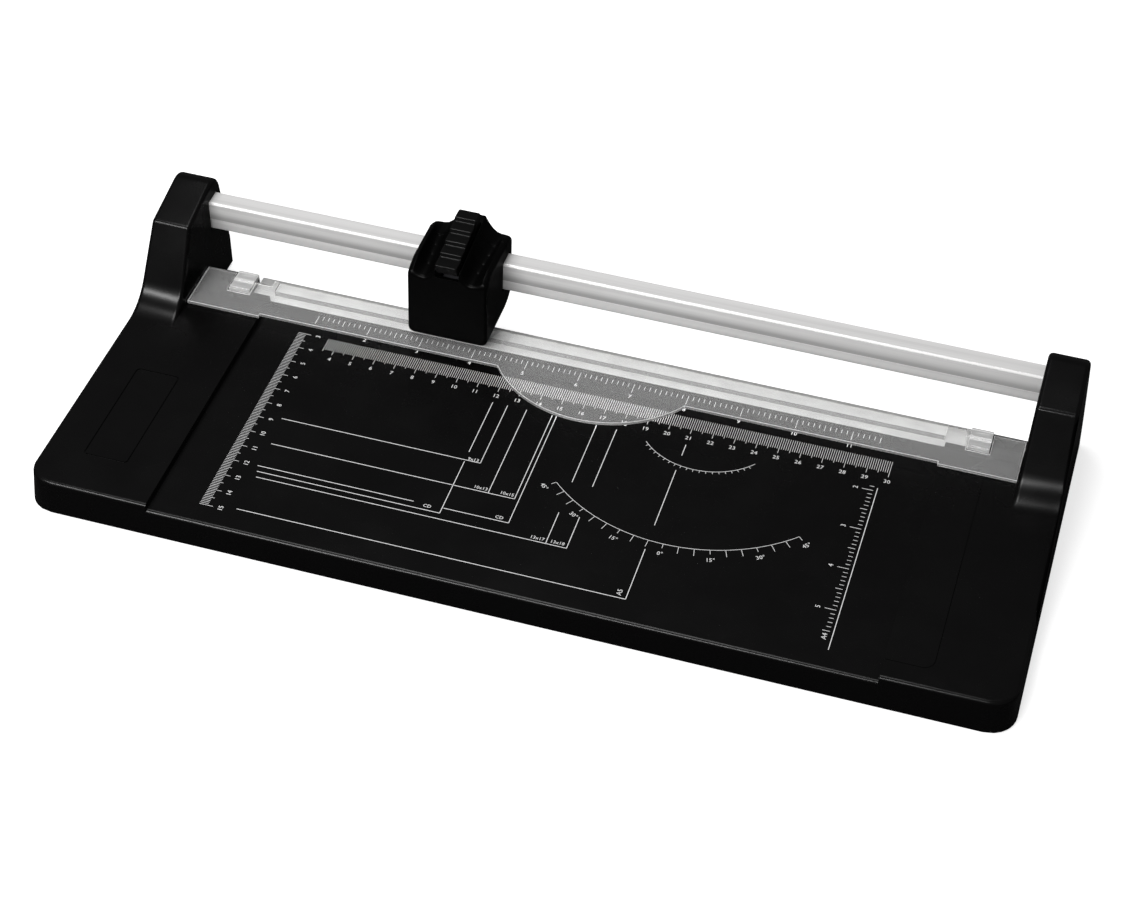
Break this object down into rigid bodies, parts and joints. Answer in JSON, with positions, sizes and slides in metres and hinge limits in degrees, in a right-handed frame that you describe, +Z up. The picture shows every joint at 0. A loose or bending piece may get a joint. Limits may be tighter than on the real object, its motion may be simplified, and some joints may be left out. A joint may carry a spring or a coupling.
{
  "type": "rotary paper trimmer",
  "caption": "Desk paper trimmer: moulded base with two towers, extruded rail, sliding head with a press-down round blade, clear hinged pressure strip.",
  "frame": {"origin": "centre of the footprint on the table", "axes": "+X along the rail, +Y away from the user, +Z up"},
  "size_m": [0.435, 0.1876, 0.0715],
  "materials": {
    "base_abs": "black ABS with a light satin sheen",
    "mat_plastic": "pale translucent plastic",
    "rail_aluminium": "satin anodised extrusion",
    "clamp_plastic": "glass-filled plastic",
    "steel_screw": "zinc plated",
    "clear_plastic": "clear polished plastic",
    "foot_rubber": "matte rubber",
    "head_abs": "black ABS, satin",
    "shoe_plastic": "natural acetal",
    "spring_steel": "bright steel",
    "blade_steel": "ground tool steel"
  },
  "bodies": {
    "base": {"base_shell": "base_abs", "cutting_mat": "mat_plastic", "guide_rail": "rail_aluminium", "rail_clamp_left": "clamp_plastic", "rail_clamp_right": "clamp_plastic", "clamp_screws": "steel_screw", "strip_clip_left": "clear_plastic", "strip_clip_right": "clear_plastic", "storage_lid": "base_abs", "foot_front_left": "foot_rubber", "foot_front_right": "foot_rubber", "foot_rear_left": "foot_rubber", "foot_rear_right": "foot_rubber"},
    "strip": {"pressure_strip": "clear_plastic"},
    "head": {"head_front_shell": "head_abs", "head_rear_shell": "head_abs", "head_screws": "steel_screw", "glide_shoe_left": "shoe_plastic", "glide_shoe_right": "shoe_plastic", "spring_pin_left": "spring_steel", "spring_pin_right": "spring_steel", "return_spring_left": "spring_steel", "return_spring_right": "spring_steel"},
    "press": {"press_button": "head_abs", "blade_carrier": "clamp_plastic", "blade_axle": "blade_steel", "blade_clip": "steel_screw"},
    "blade": {"rotary_blade": "blade_steel", "blade_bush": "shoe_plastic"}
  },
  "joints": [
    {"name": "strip_lift", "type": "hinge", "parent": "base", "child": "strip", "pos_m": [0, 0.06125, 0.0192], "axis": [-1, 0, 0], "range_deg": [0, 3]},
    {"name": "head_slide", "type": "slide", "parent": "base", "child": "head", "axis": [1, 0, 0], "range_m": [-0.1043, 0.2463]},
    {"name": "button_press", "type": "slide", "parent": "head", "child": "press", "axis": [0, 0, -1], "range_m": [0, 0.003], "stiffness_N_per_m": 600, "springref_m": -0.005, "deforming": ["return_spring_left", "return_spring_right"]},
    {"name": "blade_spin", "type": "hinge", "parent": "press", "child": "blade", "pos_m": [-0.071, 0.06875, 0.0322], "axis": [0, 1, 0], "continuous": true}
  ]
}
